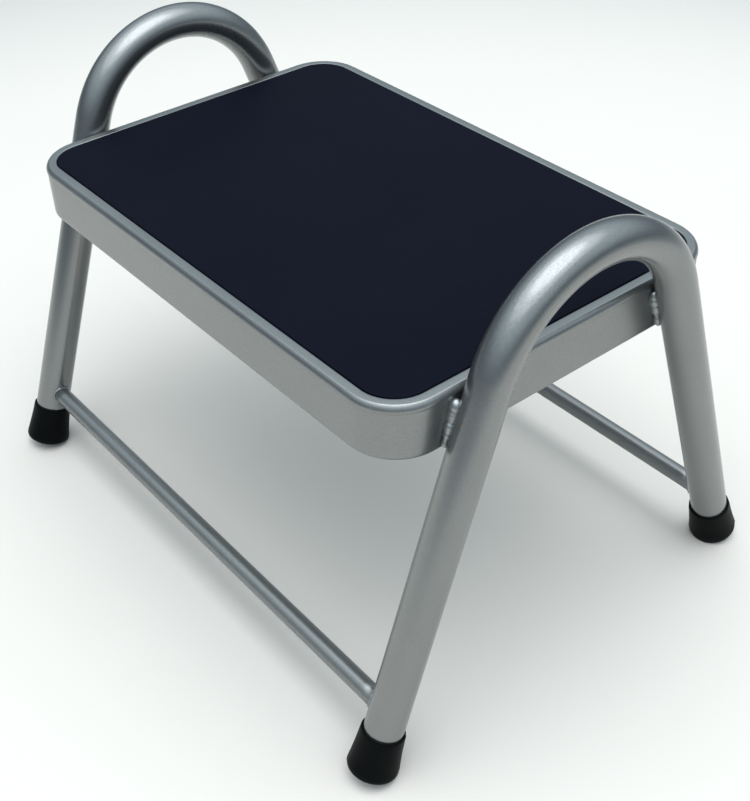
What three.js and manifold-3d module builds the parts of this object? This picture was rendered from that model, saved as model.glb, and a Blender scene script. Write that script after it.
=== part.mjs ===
// One-step stool: two bent-tube hoops carry a pressed steel tray with a rubber tread mat.
// Millimetres, +Z up. The origin is on the floor, under the middle of the tray.
// +X runs along the long side of the tray, from the left hoop to the right hoop.
import * as THREE from 'three';
import { mergeVertices } from 'three/addons/utils/BufferGeometryUtils.js';
import Module from 'manifold-3d';

// ---- driving dimensions ----
const TREAD_HEIGHT = 250;          // top of the mat above the floor
const MAT_LENGTH = 373;            // along X
const MAT_WIDTH = 247;             // along Y
const MAT_CORNER = 23;
const MAT_THICKNESS = 3;
const MAT_STANDS_PROUD = 0.4;      // above the rim round it
const RIM_WIDTH = 8.5;             // flat rim and rolled edge, outside the mat
const RIM_CORNER = 33;
const LIP_HEIGHT = 5.2;            // depth of the rolled edge
const LIP_ROLL = 1.5;              // rounding of the rolled edge
const APRON_STEP = 0.4;            // how far the apron is set in under the lip
const TRAY_HEIGHT = 36.5;          // rim to the apron's bottom edge
const SHEET = 1.2;                 // steel sheet thickness
const RETURN_FLANGE = 5;           // inward fold along the apron's bottom edge
const TUBE_DIAMETER = 25;
const TUBE_WALL = 1.5;
const HOOP_PLANE = 208;            // the hoops' centre planes, at +X and -X
const LEG_SPREAD = 162.3;          // from the middle to a leg's axis at the floor, along Y
const LEG_TILT = THREE.MathUtils.degToRad(19.4);
const HANDLE_RADIUS = 77;          // of the tube's axis round the handle
const STRETCHER_DIAMETER = 12.7;
const STRETCHER_WALL = 1;
const STRETCHER_HEIGHT = 45.8;
const FOOT_LENGTH = 31;
const FOOT_TOP_DIAMETER = 28;
const FOOT_BASE_DIAMETER = 32.5;
const FOOT_FLOOR_DEPTH = 7;        // rubber under the tube's end
const FOOT_SQUASH = 1.8;           // how much of the tilted base is pressed flat
const CHANNEL_WIDTH = 22;          // stiffener under the tread
const CHANNEL_DEPTH = 11;
const CHANNEL_SPACING = 140;
const WELD_DROPS = [4.0, 3.7, 3.4, 3.6, 3.3, 3.5, 3.2];   // radii down a hoop weld
const WELD_DROP_SPACING = 3.6;
const WELD_FROM_AXIS = 7.2;        // from the leg's axis, across the leg
const FIT_GAP = 0.3;               // left between pieces that touch

// ---- worked out from them ----
const TUBE_R = TUBE_DIAMETER / 2;
const RIM_TOP = TREAD_HEIGHT - MAT_STANDS_PROUD;
const MAT_SEAT = TREAD_HEIGHT - MAT_THICKNESS - FIT_GAP;
const TRAY_BOTTOM = RIM_TOP - TRAY_HEIGHT;
const RIM_LENGTH = MAT_LENGTH + 2 * RIM_WIDTH;
const RIM_BREADTH = MAT_WIDTH + 2 * RIM_WIDTH;
const HANDLE_CENTRE = (LEG_SPREAD - HANDLE_RADIUS / Math.cos(LEG_TILT)) / Math.tan(LEG_TILT);
const FOOT_BASE_R = FOOT_BASE_DIAMETER / 2;

// ---- finishes ----
const finish = (color, roughness, metalness) => new THREE.MeshStandardMaterial({ color, roughness, metalness });
const silverPaint = finish(0x8f9699, 0.35, 0.6);
const rodPaint = finish(0x767e84, 0.4, 0.6);
const matRubber = finish(0x1a1e29, 0.55, 0);
const footRubber = finish(0x0c0d10, 0.6, 0);

// ---- solids: three.js shapes, cut and joined ----
const wasm = await Module();
wasm.setup();

function toSolid(geometry) {
  const bare = geometry.clone();
  bare.deleteAttribute('normal');
  bare.deleteAttribute('uv');
  const merged = mergeVertices(bare, 1e-4);
  const mesh = new wasm.Mesh({
    numProp: 3,
    vertProperties: new Float32Array(merged.attributes.position.array),
    triVerts: new Uint32Array(merged.index.array),
  });
  return new wasm.Manifold(mesh);
}

function toGeometry(solid) {
  const { vertProperties, triVerts } = solid.getMesh();
  const geometry = new THREE.BufferGeometry();
  geometry.setAttribute('position', new THREE.BufferAttribute(vertProperties, 3));
  geometry.setIndex(new THREE.BufferAttribute(triVerts, 1));
  geometry.computeVertexNormals();
  return geometry;
}

const cut = (solid, ...tools) => tools.reduce((left, tool) => left.subtract(tool), solid);
const join = (first, ...others) => others.reduce((whole, other) => whole.add(other), first);

// A flat outline with round corners, raised from one height to another.
function roundedPlate(length, width, corner, bottom, top, bevel = 0) {
  const x = length / 2 - bevel;
  const y = width / 2 - bevel;
  const r = corner - bevel;
  const outline = new THREE.Shape();
  outline.moveTo(x, r - y);
  outline.absarc(x - r, y - r, r, 0, Math.PI / 2);
  outline.absarc(r - x, y - r, r, Math.PI / 2, Math.PI);
  outline.absarc(r - x, r - y, r, Math.PI, 1.5 * Math.PI);
  outline.absarc(x - r, r - y, r, 1.5 * Math.PI, 2 * Math.PI);
  const geometry = new THREE.ExtrudeGeometry(outline, {
    depth: top - bottom - 2 * bevel,
    curveSegments: 8,
    bevelEnabled: bevel > 0,
    bevelThickness: bevel,
    bevelSize: bevel,
    bevelSegments: 2,
  });
  geometry.translate(0, 0, bottom + bevel);
  return toSolid(geometry);
}

// A round bar from one point to another.
function roundBar(radius, from, to, sides = 24) {
  const along = to.clone().sub(from);
  const geometry = new THREE.CylinderGeometry(radius, radius, along.length(), sides);
  geometry.applyQuaternion(new THREE.Quaternion().setFromUnitVectors(
    new THREE.Vector3(0, 1, 0), along.clone().normalize()));
  const middle = from.clone().add(to).multiplyScalar(0.5);
  geometry.translate(middle.x, middle.y, middle.z);
  return toSolid(geometry);
}

// ---- the hoops ----
// side is +1 or -1 along X, end is +1 or -1 along Y.
function legPoint(side, end, height) {
  return new THREE.Vector3(side * HOOP_PLANE, end * (LEG_SPREAD - height * Math.tan(LEG_TILT)), height);
}

// Where the foot's base disc has its centre: the lower edge of the disc is pressed into the floor.
const footBaseHeight = FOOT_BASE_R * Math.sin(LEG_TILT) - FOOT_SQUASH;
const tubeEndHeight = footBaseHeight + FOOT_FLOOR_DEPTH * Math.cos(LEG_TILT);

class HoopAxis extends THREE.Curve {
  constructor(side) {
    super();
    this.side = side;
    this.corners = this.stations();
  }

  // Straight legs need only their ends; the handle's arc is cut into short steps.
  stations() {
    const arcSteps = 18;
    const points = [legPoint(this.side, -1, tubeEndHeight)];
    for (let i = 0; i <= arcSteps; i += 1) {
      const angle = LEG_TILT + (Math.PI - 2 * LEG_TILT) * i / arcSteps;
      points.push(new THREE.Vector3(this.side * HOOP_PLANE,
        -HANDLE_RADIUS * Math.cos(angle),
        HANDLE_CENTRE + HANDLE_RADIUS * Math.sin(angle)));
    }
    points.push(legPoint(this.side, 1, tubeEndHeight));
    return points;
  }

  getPoint(t, target = new THREE.Vector3()) {
    const place = t * (this.corners.length - 1);
    const from = Math.min(Math.floor(place), this.corners.length - 2);
    return target.copy(this.corners[from]).lerp(this.corners[from + 1], place - from);
  }

  // Equal parameter steps, one for each station.
  getUtoTmapping(u) {
    return u;
  }

  getTangent(t, target = new THREE.Vector3()) {
    const place = Math.round(t * (this.corners.length - 1));
    const before = this.corners[Math.max(place - 1, 0)];
    const after = this.corners[Math.min(place + 1, this.corners.length - 1)];
    return target.copy(after).sub(before).normalize();
  }
}

function hoopGeometry(side) {
  const section = new THREE.Shape();
  section.absarc(0, 0, TUBE_R, 0, 2 * Math.PI);
  const bore = new THREE.Path();
  bore.absarc(0, 0, TUBE_R - TUBE_WALL, 0, 2 * Math.PI, true);
  section.holes.push(bore);
  const axis = new HoopAxis(side);
  return toGeometry(toSolid(new THREE.ExtrudeGeometry(section, {
    steps: axis.corners.length - 1,
    curveSegments: 10,
    extrudePath: axis,
  })));
}

// A straight bar along a leg's axis, used to cut what meets the leg.
function legBar(side, end, radius) {
  return roundBar(radius, legPoint(side, end, -40), legPoint(side, end, 270), 32);
}

// ---- the tray and the mat ----
function trayGeometry() {
  const apronLength = RIM_LENGTH - 2 * APRON_STEP;
  const apronWidth = RIM_BREADTH - 2 * APRON_STEP;
  const apronCorner = RIM_CORNER - APRON_STEP;
  const lipBottom = RIM_TOP - LIP_HEIGHT;
  const underFloor = MAT_SEAT - SHEET;
  const seat = (grow, bottom, top) => roundedPlate(
    MAT_LENGTH + 2 * grow, MAT_WIDTH + 2 * grow, MAT_CORNER + grow, bottom, top);
  const apron = (inset, bottom, top) => roundedPlate(
    apronLength - 2 * inset, apronWidth - 2 * inset, apronCorner - inset, bottom, top);

  const lip = roundedPlate(RIM_LENGTH, RIM_BREADTH, RIM_CORNER, lipBottom, RIM_TOP, LIP_ROLL);
  const outside = join(apron(0, TRAY_BOTTOM, RIM_TOP - LIP_ROLL), lip);
  const recess = seat(FIT_GAP, MAT_SEAT, RIM_TOP + 1);
  const hollow = apron(SHEET, TRAY_BOTTOM + SHEET, underFloor);
  const mouth = apron(RETURN_FLANGE, TRAY_BOTTOM - 1, TRAY_BOTTOM + SHEET + 1);
  const underRim = cut(apron(SHEET, underFloor - 1, RIM_TOP - SHEET), seat(FIT_GAP + SHEET, underFloor - 2, RIM_TOP));
  return toGeometry(cut(outside, recess, hollow, mouth, underRim));
}

function matGeometry() {
  const bottom = TREAD_HEIGHT - MAT_THICKNESS;
  return toGeometry(roundedPlate(MAT_LENGTH, MAT_WIDTH, MAT_CORNER, bottom, TREAD_HEIGHT));
}

// A folded channel, open side up, spot-welded under the tread by its two flanges.
function channelGeometry(x) {
  const halfWidth = CHANNEL_WIDTH / 2;
  const flange = 10;
  const profile = new THREE.Shape();
  profile.moveTo(-halfWidth - flange, 0);
  profile.lineTo(-halfWidth - flange, -SHEET);
  profile.lineTo(-halfWidth, -SHEET);
  profile.lineTo(-halfWidth + 2, -CHANNEL_DEPTH);
  profile.lineTo(halfWidth - 2, -CHANNEL_DEPTH);
  profile.lineTo(halfWidth, -SHEET);
  profile.lineTo(halfWidth + flange, -SHEET);
  profile.lineTo(halfWidth + flange, 0);
  profile.lineTo(halfWidth - SHEET, 0);
  profile.lineTo(halfWidth - SHEET - 2, SHEET - CHANNEL_DEPTH);
  profile.lineTo(SHEET + 2 - halfWidth, SHEET - CHANNEL_DEPTH);
  profile.lineTo(SHEET - halfWidth, 0);
  profile.closePath();
  const length = MAT_WIDTH - 20;
  const geometry = new THREE.ExtrudeGeometry(profile, { depth: length, bevelEnabled: false });
  geometry.rotateX(Math.PI / 2);
  geometry.translate(x, length / 2, MAT_SEAT - SHEET - FIT_GAP);
  return toGeometry(toSolid(geometry));
}

// ---- the stretchers ----
function stretcherGeometry(end) {
  const y = legPoint(1, end, STRETCHER_HEIGHT).y;
  const bar = (radius, reach) => roundBar(radius,
    new THREE.Vector3(-reach, y, STRETCHER_HEIGHT), new THREE.Vector3(reach, y, STRETCHER_HEIGHT));
  const tube = cut(bar(STRETCHER_DIAMETER / 2, HOOP_PLANE),
    bar(STRETCHER_DIAMETER / 2 - STRETCHER_WALL, HOOP_PLANE + 5));
  return toGeometry(cut(tube, legBar(1, end, TUBE_R + FIT_GAP), legBar(-1, end, TUBE_R + FIT_GAP)));
}

// A ring of weld where a stretcher's end meets a leg, shaped to both.
function stretcherWeldGeometry(side, end) {
  const inner = STRETCHER_DIAMETER / 2 + FIT_GAP;
  const profile = [[inner, 13.5], [inner, 3], [inner + 3, 3], [inner + 2.7, 10.8], [inner + 1.4, 12.8], [inner, 13.5]];
  const ring = new THREE.LatheGeometry(profile.map(([r, x]) => new THREE.Vector2(r, x)), 20);
  ring.rotateZ(side * Math.PI / 2);
  const joint = legPoint(side, end, STRETCHER_HEIGHT);
  ring.translate(joint.x - side * 3, joint.y, joint.z);
  return toGeometry(cut(toSolid(ring), legBar(side, end, TUBE_R + FIT_GAP)));
}

// ---- the hoop welds ----
// A lumpy bead down the corner between a leg and the apron's end, made of overlapping drops.
// edge is +1 or -1: which side of the leg the bead is on, along Y.
function hoopWeldGeometry(side, end, edge) {
  const apronFace = RIM_LENGTH / 2 - APRON_STEP;
  const highest = RIM_TOP - LIP_HEIGHT - FIT_GAP - WELD_DROPS[0];
  const solids = WELD_DROPS.map((radius, i) => {
    const height = highest - i * WELD_DROP_SPACING;
    const onAxis = legPoint(side, end, height - edge * end * WELD_FROM_AXIS * Math.sin(LEG_TILT));
    const drop = new THREE.SphereGeometry(radius, 8, 6);
    drop.translate(side * (apronFace + 2), onAxis.y + edge * WELD_FROM_AXIS * Math.cos(LEG_TILT), height);
    return toSolid(drop);
  });
  const behindFace = new THREE.BoxGeometry(20, RIM_BREADTH, 3 * TRAY_HEIGHT);
  behindFace.translate(side * (apronFace + FIT_GAP - 10), 0, RIM_TOP - TRAY_HEIGHT / 2);
  return toGeometry(cut(join(...solids), toSolid(behindFace), legBar(side, end, TUBE_R + FIT_GAP)));
}

// ---- the feet ----
// A rubber ferrule pushed over the end of a leg, pressed flat where it meets the floor.
function footGeometry(side, end) {
  const top = FOOT_TOP_DIAMETER / 2;
  const bore = TUBE_R + FIT_GAP;
  const profile = [
    [0, 0], [FOOT_BASE_R - 3, 0], [FOOT_BASE_R - 0.9, 0.9], [FOOT_BASE_R, 3],
    [FOOT_BASE_R - 0.5, 7], [top, FOOT_LENGTH - 0.8], [top - 0.6, FOOT_LENGTH],
    [bore, FOOT_LENGTH], [bore, FOOT_FLOOR_DEPTH - FIT_GAP], [0, FOOT_FLOOR_DEPTH - FIT_GAP],
  ];
  const ferrule = new THREE.LatheGeometry(profile.map(([r, h]) => new THREE.Vector2(r, h)), 28);
  ferrule.rotateX(Math.PI / 2 + end * LEG_TILT);
  const base = legPoint(side, end, footBaseHeight);
  ferrule.translate(base.x, base.y, base.z);
  const floor = new THREE.BoxGeometry(80, 80, 40);
  floor.translate(base.x, base.y, -20);
  return toGeometry(cut(toSolid(ferrule), toSolid(floor)));
}

// ---- the assembly ----
const stool = new THREE.Group();

function place(name, geometry, material) {
  const mesh = new THREE.Mesh(geometry, material);
  mesh.name = name;
  stool.add(mesh);
}

const sides = [['left', -1], ['right', 1]];
const ends = [['front', -1], ['rear', 1]];
const edges = [['outer', 1], ['inner', -1]];

place('platform_tray', trayGeometry(), silverPaint);
place('tread_mat', matGeometry(), matRubber);
place('stiffener_left', channelGeometry(-CHANNEL_SPACING / 2), silverPaint);
place('stiffener_right', channelGeometry(CHANNEL_SPACING / 2), silverPaint);
for (const [sideName, side] of sides) {
  place(`hoop_${sideName}`, hoopGeometry(side), silverPaint);
}
for (const [endName, end] of ends) {
  place(`stretcher_${endName}`, stretcherGeometry(end), rodPaint);
}
for (const [endName, end] of ends) {
  for (const [sideName, side] of sides) {
    place(`foot_${endName}_${sideName}`, footGeometry(side, end), footRubber);
    place(`stretcher_weld_${endName}_${sideName}`, stretcherWeldGeometry(side, end), rodPaint);
    for (const [edgeName, edge] of edges) {
      place(`hoop_weld_${endName}_${sideName}_${edgeName}`, hoopWeldGeometry(side, end, end * edge), silverPaint);
    }
  }
}

export default stool;
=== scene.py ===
import math
import bmesh
import bpy
from mathutils import Matrix, Vector, noise


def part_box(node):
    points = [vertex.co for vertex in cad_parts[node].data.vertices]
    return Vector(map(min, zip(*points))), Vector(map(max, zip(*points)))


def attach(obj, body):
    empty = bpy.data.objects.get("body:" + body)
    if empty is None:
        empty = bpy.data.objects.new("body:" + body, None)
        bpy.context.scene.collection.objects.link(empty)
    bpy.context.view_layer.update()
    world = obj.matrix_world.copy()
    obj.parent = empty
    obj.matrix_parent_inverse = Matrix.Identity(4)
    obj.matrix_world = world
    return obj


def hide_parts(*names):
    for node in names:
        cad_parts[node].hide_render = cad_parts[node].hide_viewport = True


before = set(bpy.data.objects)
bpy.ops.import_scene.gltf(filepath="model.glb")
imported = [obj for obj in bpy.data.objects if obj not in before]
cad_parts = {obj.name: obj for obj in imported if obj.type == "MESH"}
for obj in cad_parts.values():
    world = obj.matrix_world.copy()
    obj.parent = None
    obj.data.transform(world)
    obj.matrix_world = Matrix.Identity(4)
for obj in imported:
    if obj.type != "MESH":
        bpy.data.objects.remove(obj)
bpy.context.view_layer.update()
scene = bpy.context.scene
MM = 0.001


# ---- The camera ----
# A plain camera on a stand, looking down on the stool past its right-hand hoop,
# held a little out of level.
camera_data = bpy.data.cameras.new("camera")
camera_data.lens = 56.085
camera_data.sensor_width = 36
camera_data.clip_start = 0.01
camera = bpy.data.objects.new("camera", camera_data)
scene.collection.objects.link(camera)
stand = Vector((0.57244, -0.43679, 0.64788))
looked_at = Vector((0.00692, 0.00886, 0.08))
camera_roll = math.radians(-1.791)
backward = (stand - looked_at).normalized()
level = Vector((0, 0, 1)).cross(backward).normalized()
rightward = math.cos(camera_roll) * level + math.sin(camera_roll) * backward.cross(level)
turn = Matrix((rightward, backward.cross(rightward), backward)).transposed()
camera.matrix_world = Matrix.Translation(stand) @ turn.to_4x4()
scene.camera = camera
scene.view_settings.view_transform = "Standard"


# ---- The room ----
# A grey room with a pale ceiling, a wide round softbox with a smaller one under its middle
# hung over the stool, and a pale paper floor with a painted fall-off of light: from 0.75 m out
# it is painted darker grey. The tubes mirror ceiling, walls and floor.
class Value:
    """A node's output, which takes part in Python sums by adding Math nodes."""

    def __init__(self, tree, socket=None):
        self.tree = tree
        self.socket = socket

    def node(self, kind, settings=None, inputs=None, out=0):
        made = self.tree.nodes.new(kind)
        for name, value in (settings or {}).items():
            if name == "stops":
                ramp = made.color_ramp
                while len(ramp.elements) < len(value):
                    ramp.elements.new(0.5)
                for stop, (place, colour) in zip(ramp.elements, value):
                    stop.position = place
                    stop.color = (*colour, 1)
            else:
                setattr(made, name, value)
        for name, value in (inputs or {}).items():
            if isinstance(value, Value):
                self.tree.links.new(value.socket, made.inputs[name])
            else:
                made.inputs[name].default_value = value
        return Value(self.tree, made.outputs[out] if made.outputs else None)

    def maths(self, operation, *values):
        return self.node("ShaderNodeMath", {"operation": operation}, dict(enumerate(values)))

    def __add__(self, other):
        return self.maths("ADD", self, other)

    def __sub__(self, other):
        return self.maths("SUBTRACT", self, other)

    def __mul__(self, other):
        return self.maths("MULTIPLY", self, other)

    def __rsub__(self, other):
        return self.maths("SUBTRACT", other, self)

    __radd__ = __add__

    def span(self, low, high, new_low=0.0, new_high=1.0, smooth=False):
        """The value carried from one range to another and held inside it."""
        kind = "SMOOTHSTEP" if smooth else "LINEAR"
        return self.node("ShaderNodeMapRange", {"interpolation_type": kind},
                         {0: self, 1: low, 2: high, 3: new_low, 4: new_high})

    def tint(self, low_colour, high_colour):
        """A colour between two, by this value; each may be a colour or another node's."""
        ends = {0: self}
        for socket, colour in ((6, low_colour), (7, high_colour)):
            ends[socket] = colour if isinstance(colour, Value) else (*colour, 1)
        return self.node("ShaderNodeMix", {"data_type": "RGBA"}, ends, out=2)


room = bpy.data.worlds.new("room")
room.use_nodes = True
room.node_tree.nodes.clear()
sky = Value(room.node_tree)
direction = sky.node("ShaderNodeTexCoord")
upward = sky.node("ShaderNodeSeparateXYZ", inputs={0: direction}, out=2)
to_right = sky.node("ShaderNodeSeparateXYZ", inputs={0: direction}, out=0)
BRIGHTER_RIGHT = 0.12
walls = upward.node("ShaderNodeValToRGB", {"stops": [
    (0.0, (0.42, 0.42, 0.41)),
    (0.47, (0.16, 0.19, 0.22)),
    (0.54, (0.18, 0.225, 0.265)),
    (0.63, (0.33, 0.41, 0.48)),
    (0.75, (0.78, 0.94, 1.03)),
    (0.87, (1.00, 1.15, 1.23)),
]}, {0: (upward + to_right * BRIGHTER_RIGHT).span(-1, 1)})
lit_room = sky.node("ShaderNodeBackground", inputs={"Color": walls, "Strength": 1.0})
sky.node("ShaderNodeOutputWorld", inputs={"Surface": lit_room})
scene.world = room

STOOL_MIDDLE = Vector((0, 0, 0.1))
for lamp_name, across, watts, hung_at in (
        ("softbox", 3.1, 26.0, Vector((0.20, -0.12, 1.97))),
        ("softbox_middle", 1.6, 13.0, Vector((0.24, -0.06, 1.93)))):
    lamp_data = bpy.data.lights.new(lamp_name, "AREA")
    lamp_data.shape = "DISK"
    lamp_data.size = across
    lamp_data.energy = watts
    lamp_data.color = (0.955, 0.985, 1.0)
    lamp = bpy.data.objects.new(lamp_name, lamp_data)
    scene.collection.objects.link(lamp)
    away = (hung_at - STOOL_MIDDLE).normalized()
    lamp.rotation_euler = away.to_track_quat("Z", "Y").to_euler()
    lamp.location = hung_at


def new_material(name):
    """An empty node material, and a value to start its nodes from."""
    material = bpy.data.materials.new(name)
    material.use_nodes = True
    material.node_tree.nodes.clear()
    return material, Value(material.node_tree)


def new_object(name, mesh, material):
    made = bpy.data.objects.new(name, mesh)
    scene.collection.objects.link(made)
    mesh.materials.clear()
    mesh.materials.append(material)
    return made


floor_finish, base = new_material("floor_paper")
place = base.node("ShaderNodeTexCoord", out=3)
paper_grain = base.node("ShaderNodeTexNoise", inputs={0: place, "Scale": 4.3, "Detail": 3.0})
from_stool = base.node("ShaderNodeVectorMath", {"operation": "LENGTH"}, {0: place}, out=1)
paper_and_painted_falloff = paper_grain.tint((0.68, 0.635, 0.59), (0.70, 0.655, 0.61))
# Painted shade: from 0.75 m to 1.9 m out the paper turns grey, a painted fall-off of the
# softboxes' light.
paper_and_painted_falloff = from_stool.span(0.75, 1.9, smooth=True).tint(paper_and_painted_falloff, (0.34, 0.34, 0.34))
surface = base.node("ShaderNodeBsdfPrincipled", inputs={
    "Base Color": paper_and_painted_falloff, "Roughness": 0.9, "Specular IOR Level": 0.1})
base.node("ShaderNodeOutputMaterial", inputs={"Surface": surface})
FLOOR_R = 7
floor_build = bmesh.new()
bmesh.ops.create_circle(floor_build, cap_ends=True, segments=96, radius=FLOOR_R)
floor_mesh = bpy.data.meshes.new("floor")
floor_build.to_mesh(floor_mesh)
floor_build.free()
floor = new_object("floor", floor_mesh, floor_finish)


# ---- The hoops ----
# Each is one length of 25 mm steel tube bent round a former into an upside-down U,
# two splayed legs and a round handle, then sprayed with silver enamel.
hoop_low, hoop_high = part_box("hoop_right")
TUBE_R = (hoop_high.x - hoop_low.x) / 2
TUBE_WALL = 1.5 * MM
HOOP_PLANE = (hoop_high.x + hoop_low.x) / 2
LEG_TILT = math.radians(19.4)
LEG_SPREAD = 162.3 * MM
HANDLE_R = 77 * MM
HANDLE_CENTRE = (LEG_SPREAD - HANDLE_R / math.cos(LEG_TILT)) / math.tan(LEG_TILT)
TUBE_END_LIFT = 4 * MM
BEND_DRAW = 0.03
SIDES = (("left", -1), ("right", 1))
ENDS = (("front", -1), ("rear", 1))


def leg_point(side, end, height):
    """A point on a leg's axis at a height above the floor."""
    return Vector((side * HOOP_PLANE, end * (LEG_SPREAD - height * math.tan(LEG_TILT)), height))


def enamel(name, colour, roughness, peel=1.0, wear_height=None):
    """Sprayed silver enamel: fine metal flake under a slightly rippled, lightly rubbed skin."""
    finish, base = new_material(name)
    place = base.node("ShaderNodeTexCoord", out=3)
    cloud = base.node("ShaderNodeTexNoise", inputs={0: place, "Scale": 14.0, "Detail": 4.0})
    flake = base.node("ShaderNodeTexVoronoi", inputs={0: place, "Scale": 2600.0}, out=1)
    spark = base.node("ShaderNodeSeparateColor", inputs={0: flake})
    ripple = base.node("ShaderNodeTexNoise", inputs={0: place, "Scale": 330.0, "Detail": 2.0})
    rub = base.node("ShaderNodeTexNoise", inputs={
        0: base.node("ShaderNodeMapping", inputs={0: place, "Scale": (1.0, 7.0, 1.0)}),
        "Scale": 120.0, "Detail": 6.0, "Roughness": 0.65})
    rubbed = rub.span(0.56, 0.78)
    if wear_height:
        # Hands rub the paint only near the top of the handle.
        height = base.node("ShaderNodeSeparateXYZ", inputs={0: place}, out=2)
        rubbed = rubbed * height.span(wear_height - 30 * MM, wear_height, smooth=True)
    else:
        rubbed = rubbed * 0.35
    shade = cloud.span(0.3, 0.7, -0.05, 0.05) + spark.span(0, 1, -0.11, 0.11) + rubbed * 0.05
    dark = tuple(part * 0.78 for part in colour)
    light = tuple(part * 1.22 for part in colour)
    paint = (shade * 2.2 + 0.5).tint(dark, light)
    gloss = cloud.span(0.25, 0.75, roughness - 0.03, roughness + 0.04) - rubbed * 0.02
    skin = base.node("ShaderNodeBump", inputs={
        "Strength": 0.55, "Distance": 0.03 * MM * peel, "Height": ripple + spark * 0.10})
    surface = base.node("ShaderNodeBsdfPrincipled", inputs={
        "Base Color": paint, "Metallic": 0.88, "Roughness": gloss, "Normal": skin,
        "Coat Weight": 0.08, "Coat Roughness": 0.2})
    base.node("ShaderNodeOutputMaterial", inputs={"Surface": surface})
    return finish


SILVER = (0.240, 0.248, 0.247)
hoop_paint = enamel("silver_enamel_tube", SILVER, 0.25, peel=0.4, wear_height=0.29)


def geometry_tree(name, *sizes):
    """A new geometry tree that takes a path, a material and named sizes."""
    tree = bpy.data.node_groups.new(name, "GeometryNodeTree")
    tree.interface.new_socket("Geometry", in_out="OUTPUT", socket_type="NodeSocketGeometry")
    tree.interface.new_socket("Path", in_out="INPUT", socket_type="NodeSocketGeometry")
    tree.interface.new_socket("Material", in_out="INPUT", socket_type="NodeSocketMaterial")
    for size, kind in sizes:
        tree.interface.new_socket(size, in_out="INPUT", socket_type="NodeSocket" + kind)
    given = tree.nodes.new("NodeGroupInput")
    return tree, {socket.name: Value(tree, socket) for socket in given.outputs if socket.name}


def end_tree(tree, shape, material):
    """Makes the shape real, smooth and painted, and hands it out of the tree."""
    whole = shape.node("GeometryNodeRealizeInstances", inputs={0: shape})
    smooth = whole.node("GeometryNodeSetShadeSmooth", inputs={0: whole})
    painted = smooth.node("GeometryNodeSetMaterial", inputs={0: smooth, "Material": material})
    tree.links.new(painted.socket, tree.nodes.new("NodeGroupOutput").inputs[0])


def grow(tree, points, closed=False, **sizes):
    """Runs a tree on a path through the points and returns the plain mesh that it makes."""
    path = bpy.data.meshes.new("path")
    links = [(i, i + 1) for i in range(len(points) - 1)]
    if closed:
        links.append((len(points) - 1, 0))
    path.from_pydata(points, links, [])
    carrier = bpy.data.objects.new("path", path)
    scene.collection.objects.link(carrier)
    modifier = carrier.modifiers.new("tree", "NODES")
    modifier.node_group = tree
    for item in tree.interface.items_tree:
        if item.in_out == "INPUT" and item.name in sizes:
            modifier[item.identifier] = sizes[item.name]
    evaluated = carrier.evaluated_get(bpy.context.evaluated_depsgraph_get())
    mesh = bpy.data.meshes.new_from_object(evaluated)
    carrier.modifiers.remove(modifier)
    bpy.data.objects.remove(carrier)
    return mesh


def clean(mesh):
    """Joins corners that coincide and turns every face outwards."""
    build = bmesh.new()
    build.from_mesh(mesh)
    bmesh.ops.remove_doubles(build, verts=build.verts, dist=0.01 * MM)
    bmesh.ops.recalc_face_normals(build, faces=build.faces)
    build.to_mesh(mesh)
    build.free()
    mesh.shade_smooth()


def settle(piece):
    """Turns a piece's modifiers into plain mesh."""
    evaluated = piece.evaluated_get(bpy.context.evaluated_depsgraph_get())
    mesh = bpy.data.meshes.new_from_object(evaluated)
    piece.modifiers.clear()
    piece.data = mesh


tube_tree, given = geometry_tree("bent_tube", ("Tube Radius", "Float"), ("Tube Sides", "Int"))
bend = given["Path"].node("GeometryNodeMeshToCurve", inputs={0: given["Path"]})
section = bend.node("GeometryNodeCurvePrimitiveCircle", inputs={
    "Resolution": given["Tube Sides"], "Radius": given["Tube Radius"]})
swept = bend.node("GeometryNodeCurveToMesh", inputs={"Curve": bend, "Profile Curve": section})
end_tree(tube_tree, swept, given["Material"])


def hoop_path(side):
    """Points up one leg, round the handle and down the other leg."""
    leg_steps, arc_steps = 24, 72
    points = []
    tube_end = hoop_low.z + TUBE_END_LIFT
    springing = HANDLE_CENTRE + HANDLE_R * math.sin(LEG_TILT)
    for i in range(leg_steps):
        points.append(leg_point(side, -1, tube_end + (springing - tube_end) * i / leg_steps))
    for i in range(arc_steps + 1):
        angle = LEG_TILT + (math.pi - 2 * LEG_TILT) * i / arc_steps
        points.append(Vector((side * HOOP_PLANE, -HANDLE_R * math.cos(angle),
                              HANDLE_CENTRE + HANDLE_R * math.sin(angle))))
    return points + [Vector((p.x, -p.y, p.z)) for p in reversed(points[:leg_steps])]


def flatten_bend(mesh):
    """The outside of a bend stretches, so the tube draws in a little there."""
    for corner in mesh.vertices:
        from_centre = Vector((0, corner.co.y, corner.co.z - HANDLE_CENTRE))
        turned = math.degrees(math.atan2(from_centre.z, abs(from_centre.y)))
        blend = min(max((turned - 15) / 15, 0), 1)
        outward = from_centre.length - HANDLE_R
        if blend and outward > 0:
            corner.co -= from_centre.normalized() * outward * BEND_DRAW * blend


for side_name, side in SIDES:
    hoop_mesh = grow(tube_tree, hoop_path(side), **{
        "Tube Radius": TUBE_R, "Tube Sides": 56, "Material": hoop_paint})
    clean(hoop_mesh)
    flatten_bend(hoop_mesh)
    hoop = new_object("tube_hoop_" + side_name, hoop_mesh, hoop_paint)
    wall = hoop.modifiers.new("wall", "SOLIDIFY")
    wall.thickness = TUBE_WALL
    wall.offset = -1
    settle(hoop)
    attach(hoop, "root")
    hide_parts("hoop_" + side_name)


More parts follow.
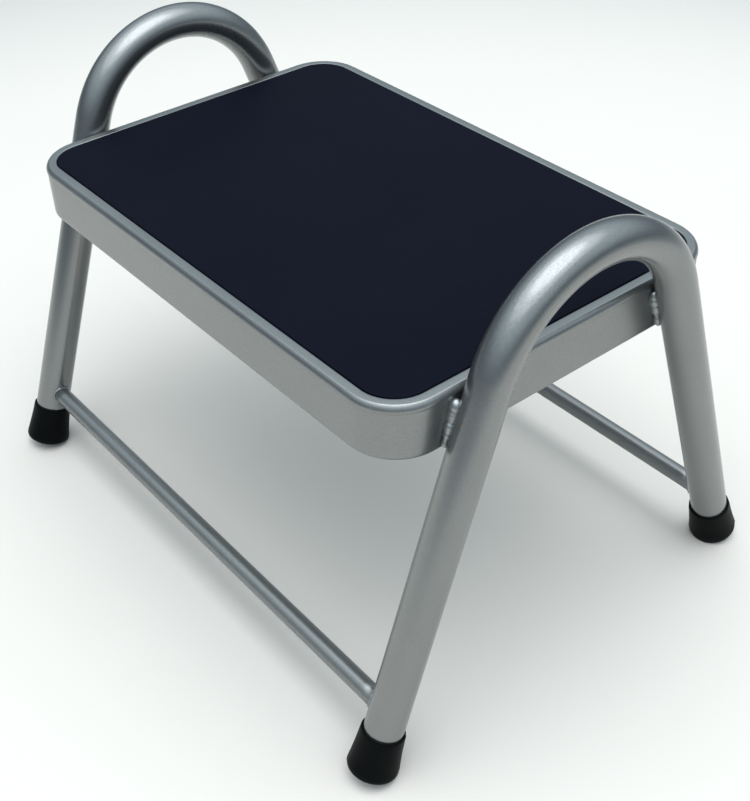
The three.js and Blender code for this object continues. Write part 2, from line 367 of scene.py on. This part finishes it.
# ---- The tray ----
# One sheet of 1.2 mm steel, pressed with a recess for the mat, a flat rim with a rolled
# lip, and a deep apron whose bottom edge is turned in. Enamelled like the tubes.
tray_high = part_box("platform_tray")[1]
RIM_TOP = tray_high.z
mat_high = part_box("tread_mat")[1]
tray_paint = enamel("silver_enamel_tray", SILVER, 0.31)
CORNER_STEPS, LONG_STEPS, SHORT_STEPS = 24, 30, 20


def rounded_ring(half_x, half_y, corner, height):
    """The points of one level ring of a rounded rectangle, the same number for any size."""
    points = []
    centres = ((1, -1, -90), (1, 1, 0), (-1, 1, 90), (-1, -1, 180))
    for number, (sx, sy, start) in enumerate(centres):
        centre = Vector((sx * (half_x - corner), sy * (half_y - corner), height))
        arc = []
        for i in range(CORNER_STEPS + 1):
            angle = math.radians(start + 90 * i / CORNER_STEPS)
            arc.append(centre + corner * Vector((math.cos(angle), math.sin(angle), 0)))
        if points:
            steps = LONG_STEPS if number == 2 else SHORT_STEPS
            points += [points[-1].lerp(arc[0], i / steps) for i in range(1, steps)]
        points += arc
    # The sides between the four corners are short, long and short; the last is long.
    points += [points[-1].lerp(points[0], i / LONG_STEPS) for i in range(1, LONG_STEPS)]
    return points


def loft(name, rings):
    """A skin over level rings, closed at both ends."""
    build = bmesh.new()
    rows = [[build.verts.new(p) for p in ring] for ring in rings]
    count = len(rows[0])
    for lower, upper in zip(rows, rows[1:]):
        for i in range(count):
            j = (i + 1) % count
            build.faces.new((lower[i], lower[j], upper[j], upper[i]))
    build.faces.new(reversed(rows[0]))
    build.faces.new(rows[-1])
    bmesh.ops.recalc_face_normals(build, faces=build.faces)
    mesh = bpy.data.meshes.new(name)
    build.to_mesh(mesh)
    build.free()
    mesh.shade_smooth()
    return mesh


MAT_HALF_X, MAT_HALF_Y, MAT_CORNER = mat_high.x, mat_high.y, 23 * MM
RIM_HALF_X, RIM_HALF_Y, RIM_CORNER = tray_high.x, tray_high.y, 33 * MM


def round_mat(grown, below, top=RIM_TOP):
    """A ring that follows the mat's outline, in millimetres out from it and below a height."""
    g = grown * MM
    return rounded_ring(MAT_HALF_X + g, MAT_HALF_Y + g, MAT_CORNER + g, top - below * MM)


def round_rim(inset, below_rim):
    """A ring that follows the rim's outer edge, in millimetres in from it and below the rim."""
    g = inset * MM
    return rounded_ring(RIM_HALF_X - g, RIM_HALF_Y - g, RIM_CORNER - g, RIM_TOP - below_rim * MM)


# The sheet's section, from the middle of the recess over the rim and down the outside of
# the apron, then back up its inside and under the recess, in millimetres.
recess = [(-20, 2.9), (-3, 2.9), (-0.7, 2.88), (-0.1, 2.7), (0.22, 2.2), (0.3, 1.2),
          (0.36, 0.6), (0.55, 0.25), (0.9, 0.06), (1.4, 0)]


def turned_edge(radius, inset, drop, start, stop, steps):
    """Part of a rounded edge: (inset, drop) round a centre, by the slope in degrees."""
    slopes = [math.radians(start + (stop - start) * i / steps) for i in range(steps + 1)]
    return [(inset - radius * math.sin(a), drop - radius * math.cos(a)) for a in slopes]


lip_shoulder = turned_edge(radius=1.2, inset=2.709, drop=1.2, start=0, stop=40, steps=6)
lip_slope = turned_edge(radius=6, inset=5.795, drop=4.876, start=42, stop=48, steps=3)
lip_side = turned_edge(radius=5.2, inset=5.2, drop=4.34, start=52, stop=90, steps=8)
lip_edge = [(0.03, 4.75), (0.14, 5.0), (0.32, 5.14), (0.44, 5.3), (0.41, 5.7), (0.4, 6.4)]
APRON_STEPS = 18
apron = [(0.4, 6.4 + 27.2 * i / APRON_STEPS) for i in range(1, APRON_STEPS + 1)]
apron_foot = [(0.42, 34.7), (0.55, 35.5), (0.9, 36.1), (1.5, 36.45), (2.2, 36.5), (5.0, 36.5),
              (5.35, 36.35), (5.45, 35.9), (5.3, 35.5), (4.9, 35.35), (2.7, 35.3), (2.0, 35.0),
              (1.65, 34.3), (1.6, 33.1)]
inside = [(1.6, drop) for drop in (28, 22, 16, 10, 6)]
inside += [(1.7, 3.4), (2.3, 2.0), (3.2, 1.3), (3.9, 1.2)]
under_recess = [(2.0, 1.2), (1.62, 1.4), (1.5, 1.9), (1.45, 3.2), (1.1, 3.85), (0.4, 4.08),
                (-0.8, 4.1), (-20, 4.1)]
lip = lip_shoulder + lip_slope + lip_side + lip_edge
tray_mesh = loft("tray", (
    [round_mat(*row) for row in recess]
    + [round_rim(*row) for row in lip + apron + apron_foot + inside]
    + [round_mat(*row) for row in under_recess]))

# The pressed apron is not quite flat: it waves a little between its lip and its foot.
WAVE_TOP, WAVE_FOOT, WAVE_FADE = 8, 35, 6
WAVE_DEPTH = 0.22 * MM
for corner in tray_mesh.vertices:
    drop = (RIM_TOP - corner.co.z) / MM
    if WAVE_TOP < drop < WAVE_FOOT:
        fade = min(drop - WAVE_TOP, WAVE_FOOT - drop, WAVE_FADE) / WAVE_FADE
        outward = Vector((corner.co.x / RIM_HALF_X, corner.co.y / RIM_HALF_Y, 0)).normalized()
        corner.co += outward * noise.noise(corner.co * 22) * WAVE_DEPTH * fade
tray = new_object("pressed_tray", tray_mesh, tray_paint)
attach(tray, "root")
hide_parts("platform_tray")


# ---- The stiffeners ----
# Two folded channels of the same sheet under the tread, held by a row of spot welds
# through each flange.
SHEET = 1.2
CHANNEL_FLANGE = 10.0
SPOTS = 6


def channel_profile(low, high):
    """Half of a channel's section, then its mirror: (across, height) in metres."""
    half = (high.x - low.x) / 2 / MM - CHANNEL_FLANGE
    edge = half + CHANNEL_FLANGE
    depth = (high.z - low.z) / MM
    outer = [(edge, 0.15), (edge - 0.1, SHEET), (half + 1.2, SHEET),
             (half + 0.3, SHEET + 0.4), (half - 0.2, SHEET + 1.3), (half - 1.6, depth - 1.5),
             (half - 2.1, depth - 0.4), (half - 3.2, depth)]
    inner = [(edge, 0.0), (half - 0.6, 0.0), (half - 1.2, 0.5),
             (half - 2.6, depth - SHEET - 1.1), (half - 3.0, depth - SHEET - 0.2),
             (half - 3.8, depth - SHEET)]
    right = list(reversed(inner)) + outer
    left = [(-x, z) for x, z in reversed(right)]
    return [(x * MM, high.z - z * MM) for x, z in right + left]


spot_tree, given = geometry_tree("spot_welds", ("Spot Radius", "Float"))
spot = given["Path"].node("GeometryNodeMeshUVSphere", inputs={
    "Segments": 16, "Rings": 8, "Radius": given["Spot Radius"]})
spots = spot.node("GeometryNodeInstanceOnPoints", inputs={
    "Points": given["Path"], "Instance": spot, "Scale": (1.0, 1.0, 0.16)})
end_tree(spot_tree, spots, given["Material"])

for side_name, side in SIDES:
    low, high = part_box("stiffener_" + side_name)
    middle = (low.x + high.x) / 2
    rings = []
    for share in (0.0, 0.002, 0.25, 0.5, 0.75, 0.998, 1.0):
        y = low.y + (high.y - low.y) * share
        rings.append([Vector((middle + x, y, z)) for x, z in channel_profile(low, high)])
    channel_mesh = loft("channel_" + side_name, rings)
    spot_points = []
    for flange in (-1, 1):
        across = middle + flange * (high.x - low.x - CHANNEL_FLANGE * MM) / 2
        for i in range(SPOTS):
            y = low.y + (high.y - low.y) * (0.08 + 0.168 * i)
            spot_points.append((across, y, high.z - SHEET * MM))
    spot_mesh = grow(spot_tree, spot_points, **{"Spot Radius": 2.6 * MM, "Material": tray_paint})
    build = bmesh.new()
    build.from_mesh(channel_mesh)
    build.from_mesh(spot_mesh)
    build.to_mesh(channel_mesh)
    build.free()
    channel_mesh.shade_smooth()
    channel = new_object("channel_" + side_name, channel_mesh, tray_paint)
    channel.modifiers.new("edges", "EDGE_SPLIT").split_angle = math.radians(50)
    settle(channel)
    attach(channel, "root")
    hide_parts("stiffener_" + side_name)


# ---- The tread mat ----
# A smooth 3 mm sheet of dark navy rubber, glued into the tray's recess with its edge a
# hair clear of the steel and its face just above the rim.
mat_rubber, base = new_material("navy_rubber")
place = base.node("ShaderNodeTexCoord", out=3)
grain = base.node("ShaderNodeTexNoise", inputs={0: place, "Scale": 1500.0, "Detail": 3.0})
blotch = base.node("ShaderNodeTexNoise", inputs={0: place, "Scale": 9.0, "Detail": 5.0})
scuff_lie = base.node("ShaderNodeMapping", inputs={
    0: place, "Rotation": (0, 0, 0.5), "Scale": (1.0, 9.0, 1.0)})
scuff = base.node("ShaderNodeTexNoise", inputs={
    0: scuff_lie, "Scale": 60.0, "Detail": 7.0, "Roughness": 0.7})
scuffed = scuff.span(0.60, 0.74)
# Pale specks painted on the rubber are painted glints, standing in for light caught by its fine
# grain.
PAINTED_GLINT_CELLS = 55.0
painted_glint_distance = base.node("ShaderNodeTexVoronoi", inputs={0: place, "Scale": PAINTED_GLINT_CELLS})
painted_glint_cell_colour = base.node("ShaderNodeTexVoronoi", inputs={0: place, "Scale": PAINTED_GLINT_CELLS}, out=1)
painted_glint_pick = base.node("ShaderNodeSeparateColor", inputs={0: painted_glint_cell_colour})
painted_glint_spot = painted_glint_distance.span(0.03, 0.02) * painted_glint_pick.span(0.94, 0.95)
rubber_and_painted_glints = blotch.span(0.3, 0.7).tint((0.0025, 0.0031, 0.0078), (0.0034, 0.0044, 0.0100))
rubber_and_painted_glints = (scuffed * 0.25).tint(rubber_and_painted_glints, (0.014, 0.017, 0.024))
rubber_and_painted_glints = painted_glint_spot.tint(rubber_and_painted_glints, (0.16, 0.17, 0.18))
pebble = base.node("ShaderNodeBump", inputs={
    "Strength": 0.5, "Distance": 0.06 * MM, "Height": grain})
surface = base.node("ShaderNodeBsdfPrincipled", inputs={
    "Base Color": rubber_and_painted_glints, "Roughness": blotch.span(0.2, 0.8, 0.52, 0.64) - scuffed * 0.06,
    "Specular IOR Level": 0.035, "Normal": pebble})
base.node("ShaderNodeOutputMaterial", inputs={"Surface": surface})

mat_edge = [(-12, 3.0), (-0.4, 3.0), (-0.08, 2.9), (0, 2.6), (0, 1.5), (0, 0.7), (-0.12, 0.3),
            (-0.38, 0.08), (-0.8, 0.0)]
mat_face = [(-inward, 0.0) for inward in (2, 4, 7, 11, 16, 22)]
mat_mesh = loft("mat", [round_mat(*row, top=mat_high.z) for row in mat_edge + mat_face])
tread = new_object("rubber_tread", mat_mesh, mat_rubber)
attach(tread, "root")
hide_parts("tread_mat")


# ---- The stretchers ----
# Thin straight steel tubes between each pair of legs, low down, with their ends shaped
# to the round of the legs and welded on. Enamelled darker and flatter than the hoops.
rod_paint = enamel("silver_enamel_rod", (0.235, 0.243, 0.242), 0.40)
ROD_SIDES, ROD_STEPS = 32, 40
ROD_GAP = 0.05 * MM


def rod_axis(end_name):
    """A stretcher's radius, and its axis as a distance from the middle and a height."""
    low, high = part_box("stretcher_" + end_name)
    return (high.z - low.z) / 2, (low.y + high.y) / 2, (low.z + high.z) / 2


def leg_skin(end, y, z):
    """How far from the middle plane the inner skin of a leg is, at a place beside it."""
    from_leg = (y - leg_point(1, end, z).y) * math.cos(LEG_TILT)
    return HOOP_PLANE - math.sqrt(TUBE_R ** 2 - from_leg ** 2)


for end_name, end in ENDS:
    rod_r, axis_y, axis_z = rod_axis(end_name)
    rings = []
    for step in range(ROD_STEPS + 1):
        ring = []
        for i in range(ROD_SIDES):
            angle = 2 * math.pi * i / ROD_SIDES
            y = axis_y + rod_r * math.cos(angle)
            z = axis_z + rod_r * math.sin(angle)
            reach = leg_skin(end, y, z) - ROD_GAP
            ring.append(Vector((reach * (2 * step / ROD_STEPS - 1), y, z)))
        rings.append(ring)
    rod = new_object("round_stretcher_" + end_name, loft("rod", rings), rod_paint)
    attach(rod, "root")
    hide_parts("stretcher_" + end_name)


# ---- The welds ----
# Lumpy beads of weld metal under the same enamel: eight down the corners between the legs
# and the tray's ends, and four round the stretchers' ends.
weld_paint = enamel("silver_enamel_weld", (0.28, 0.295, 0.30), 0.31, peel=2.0)

weld_tree, given = geometry_tree(
    "weld_bead", ("Spacing", "Float"), ("Drop Size", "Float"), ("Unevenness", "Float"),
    ("Head Share", "Float"), ("Tail Share", "Float"), ("Width", "Vector"),
    ("Grain", "Float"), ("Seed", "Int"))
bead_line = given["Path"].node("GeometryNodeMeshToCurve", inputs={0: given["Path"]})
bead_points = bead_line.node("GeometryNodeResampleCurve", {"mode": "LENGTH"}, {
    "Curve": bead_line, "Length": given["Spacing"]})
drop = bead_line.node("GeometryNodeMeshIcoSphere", inputs={"Radius": 1.0, "Subdivisions": 3})
smallest = given["Drop Size"] * (1 - given["Unevenness"])
largest = given["Drop Size"] * (1 + given["Unevenness"])
drop_size = bead_line.node("FunctionNodeRandomValue", {"data_type": "FLOAT"}, {
    2: smallest, 3: largest, "Seed": given["Seed"]}, out=1)
along = drop_size.node("GeometryNodeSplineParameter")
drop_size = drop_size * along.span(0, 1, given["Head Share"], given["Tail Share"])
drop_shape = drop_size.node("ShaderNodeVectorMath", {"operation": "SCALE"}, {
    0: given["Width"], "Scale": drop_size})
drops = bead_line.node("GeometryNodeInstanceOnPoints", inputs={
    "Points": bead_points, "Instance": drop, "Scale": drop_shape})
separate = drops.node("GeometryNodeRealizeInstances", inputs={0: drops})
melt = separate.node("GeometryNodeMeshToVolume", {"resolution_mode": "VOXEL_SIZE"}, {
    "Mesh": separate, "Voxel Size": given["Grain"], "Interior Band Width": 2 * MM})
run = melt.node("GeometryNodeVolumeToMesh", {"resolution_mode": "VOXEL_SIZE"}, {
    "Volume": melt, "Voxel Size": given["Grain"], "Threshold": 0.1})
end_tree(weld_tree, run, given["Material"])

APRON_FACE = RIM_HALF_X - 0.4 * MM
WELD_ACROSS = 7.9 * MM
WELD_OUT = 1.9 * MM
WELD_GRAIN = 0.35 * MM
BEAD_TOP = 238.6 * MM
BEAD_FOOT = 217.0 * MM
BEAD_STEPS, RING_STEPS = 12, 24
seed = 0
for end_name, end in ENDS:
    for side_name, side in SIDES:
        for edge_name, edge in (("outer", 1), ("inner", -1)):
            seed += 1
            points = []
            for i in range(BEAD_STEPS + 1):
                height = BEAD_TOP + (BEAD_FOOT - BEAD_TOP) * i / BEAD_STEPS
                axis = leg_point(side, end, height - edge * WELD_ACROSS * math.sin(LEG_TILT))
                waver = noise.noise(Vector((seed * 7.3, i * 0.45, 0))) * 0.7 * MM
                y = axis.y + end * edge * (WELD_ACROSS * math.cos(LEG_TILT) + waver)
                x = side * (APRON_FACE + WELD_OUT + waver * 0.5)
                points.append((x, y, height))
            bead_mesh = grow(weld_tree, points, **{
                "Spacing": 1.7 * MM, "Drop Size": 2.9 * MM, "Unevenness": 0.26,
                "Head Share": 1.2, "Tail Share": 0.72, "Width": (1.1, 1.0, 1.2),
                "Grain": WELD_GRAIN, "Seed": seed, "Material": weld_paint})
            clean(bead_mesh)
            name = "_".join((end_name, side_name, edge_name))
            bead = new_object("weld_bead_" + name, bead_mesh, weld_paint)
            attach(bead, "root")
            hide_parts("hoop_weld_" + name)

for end_name, end in ENDS:
    rod_r, axis_y, axis_z = rod_axis(end_name)
    ring_r = rod_r + 0.1 * MM
    for side_name, side in SIDES:
        seed += 1
        points = []
        for i in range(RING_STEPS):
            angle = 2 * math.pi * i / RING_STEPS
            y = axis_y + ring_r * math.cos(angle)
            z = axis_z + ring_r * math.sin(angle)
            points.append((side * (leg_skin(end, y, z) - 0.3 * MM), y, z))
        ring_mesh = grow(weld_tree, points, closed=True, **{
            "Spacing": 1.6 * MM, "Drop Size": 1.25 * MM, "Unevenness": 0.22,
            "Head Share": 1.0, "Tail Share": 1.0, "Width": (1.0, 1.0, 1.0),
            "Grain": WELD_GRAIN, "Seed": seed, "Material": weld_paint})
        clean(ring_mesh)
        name = end_name + "_" + side_name
        ring_bead = new_object("weld_ring_" + name, ring_mesh, weld_paint)
        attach(ring_bead, "root")
        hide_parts("stretcher_weld_" + name)


# ---- The feet ----
# Moulded black rubber ferrules pushed over the ends of the legs, with a plain mouth,
# a rounded base and a fine mould line down two sides, pressed flat where they stand.
foot_rubber, base = new_material("black_rubber")
place = base.node("ShaderNodeTexCoord", out=3)
skin = base.node("ShaderNodeTexNoise", inputs={0: place, "Scale": 1100.0, "Detail": 3.0})
bloom = base.node("ShaderNodeTexNoise", inputs={0: place, "Scale": 55.0, "Detail": 5.0})
height = base.node("ShaderNodeSeparateXYZ", inputs={0: place}, out=2)
floor_dust = height.span(0.007, 0.0) * bloom.span(0.35, 0.7)
black = bloom.span(0.3, 0.7).tint((0.0012, 0.0018, 0.0021), (0.0022, 0.0030, 0.0034))
black = (floor_dust * 0.6).tint(black, (0.045, 0.045, 0.043))
foot_skin = base.node("ShaderNodeBump", inputs={
    "Strength": 0.5, "Distance": 0.05 * MM, "Height": skin})
surface = base.node("ShaderNodeBsdfPrincipled", inputs={
    "Base Color": black, "Roughness": bloom.span(0.2, 0.8, 0.40, 0.52) + floor_dust * 0.2,
    "Specular IOR Level": 0.055, "Normal": foot_skin})
base.node("ShaderNodeOutputMaterial", inputs={"Surface": surface})

BASE_R = 16.25
BORE_R = TUBE_R / MM + 0.15
MOUTH_R = 13.9
MOULD_LINE = 0.22
PRESSED_FLAT = 1.8 * MM
FERRULE_SIDES = 72
# The ferrule's section, from the middle of its base up the outside and down the bore:
# radius and height along the leg, in millimetres.
ferrule_profile = [
    (5.0, 0.5), (5.6, 0.05), (BASE_R - 3.6, 0.0), (BASE_R - 2.6, 0.12), (BASE_R - 1.5, 0.55),
    (BASE_R - 0.65, 1.35), (BASE_R - 0.15, 2.5), (BASE_R, 3.8), (BASE_R - 0.15, 5.6),
    (BASE_R - 0.55, 8.0), (15.1, 14.0), (14.55, 20.0), (14.25, 25.0), (14.05, 28.6),
    (13.95, 29.9), (13.8, 30.5), (13.55, 30.88), (13.2, 31.0), (12.85, 30.85),
    (BORE_R, 30.3), (BORE_R, 20.0), (BORE_R, 6.8),
]
foot_base_height = BASE_R * math.sin(LEG_TILT) * MM - PRESSED_FLAT

for end_name, end in ENDS:
    for side_name, side in SIDES:
        upright = Matrix.Rotation(end * LEG_TILT, 4, "X")
        stands_at = leg_point(side, end, foot_base_height)
        rings = []
        for radius, along in ferrule_profile:
            ring = []
            for i in range(FERRULE_SIDES):
                angle = 2 * math.pi * i / FERRULE_SIDES
                on_line = i % (FERRULE_SIDES // 2) == FERRULE_SIDES // 8
                ridge = MOULD_LINE if on_line and radius > MOUTH_R else 0.0
                r = (radius + ridge) * MM
                ring.append(Vector((r * math.cos(angle), r * math.sin(angle), along * MM)))
            rings.append(ring)
        foot_mesh = loft("ferrule", rings)
        foot_mesh.transform(Matrix.Translation(stands_at) @ upright)
        for corner in foot_mesh.vertices:
            corner.co.z = max(corner.co.z, 0.0)
        name = end_name + "_" + side_name
        ferrule = new_object("rubber_ferrule_" + name, foot_mesh, foot_rubber)
        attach(ferrule, "root")
        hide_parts("foot_" + name)
